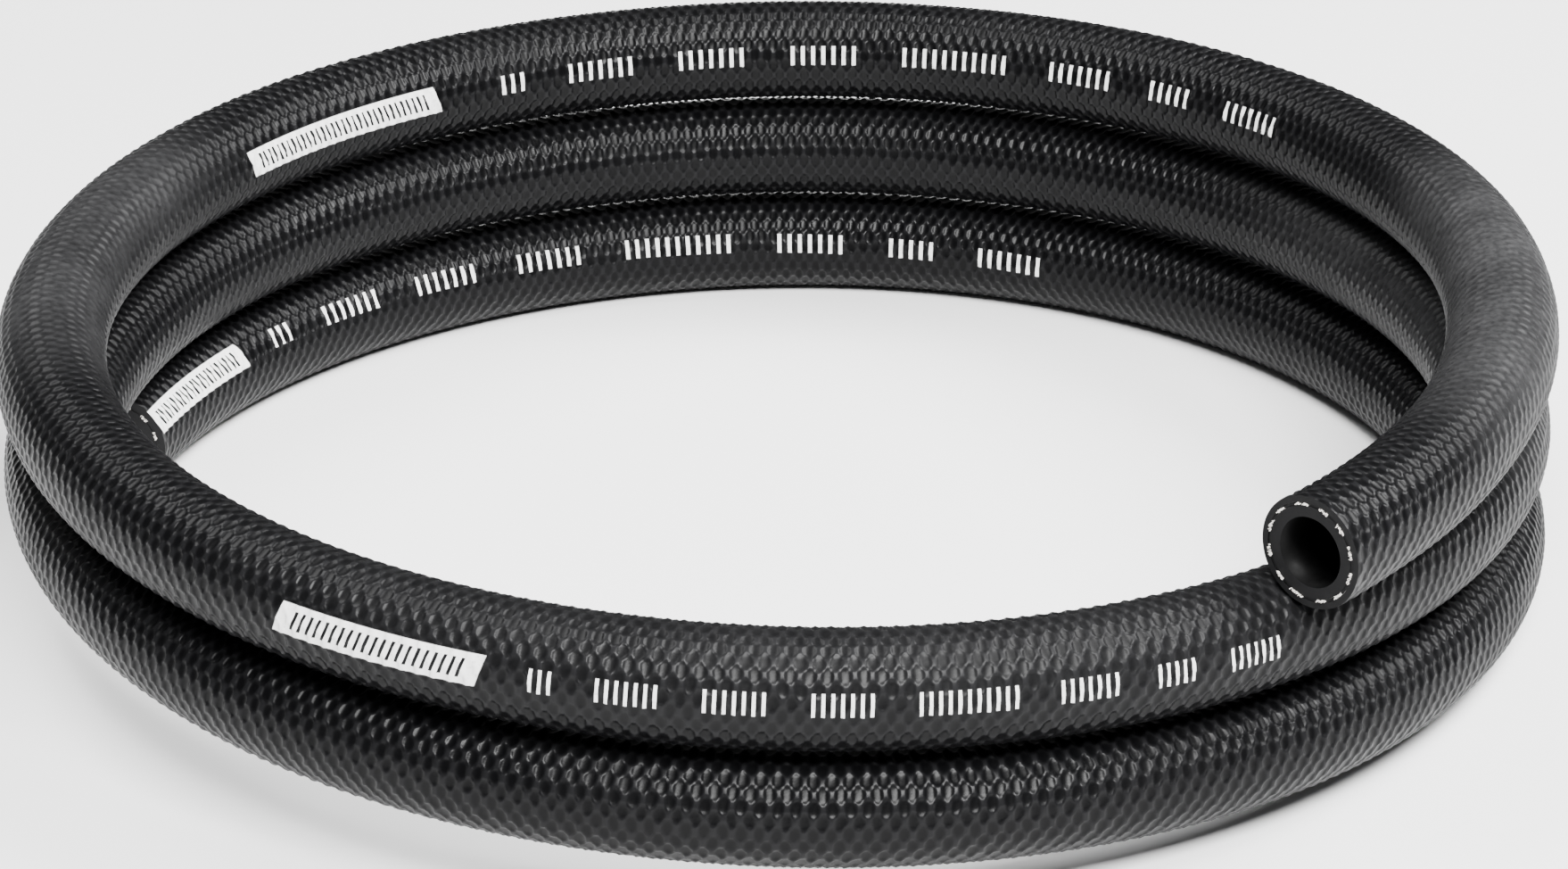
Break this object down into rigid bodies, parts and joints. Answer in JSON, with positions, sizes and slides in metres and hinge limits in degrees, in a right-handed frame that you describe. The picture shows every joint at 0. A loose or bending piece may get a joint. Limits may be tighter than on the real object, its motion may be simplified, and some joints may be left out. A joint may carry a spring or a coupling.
{
  "type": "fuel hose coil",
  "caption": "Loose coil of black rubber fuel hose: a smooth inner tube, a white textile braid and a braid-marked rubber cover, cut square at both ends.",
  "frame": {"origin": "on the floor under the middle of the coil's bounding box, between the turns", "axes": "+Z is the coil's axis, pointing up from the floor; the free end on top lies on the +X side and its mouth looks along -Y"},
  "size_m": [0.301, 0.2922, 0.0638],
  "materials": {
    "tube_rubber": "matt, cleanly cut black rubber",
    "white_yarn": "white textile yarn, cut ends slightly frayed",
    "cover_rubber": "satin black rubber with a pressed braid pattern and faint grey scuffs"
  },
  "bodies": {
    "root": {"inner_tube": "tube_rubber", "yarn_braid": "white_yarn", "outer_cover": "cover_rubber"}
  },
  "joints": []
}
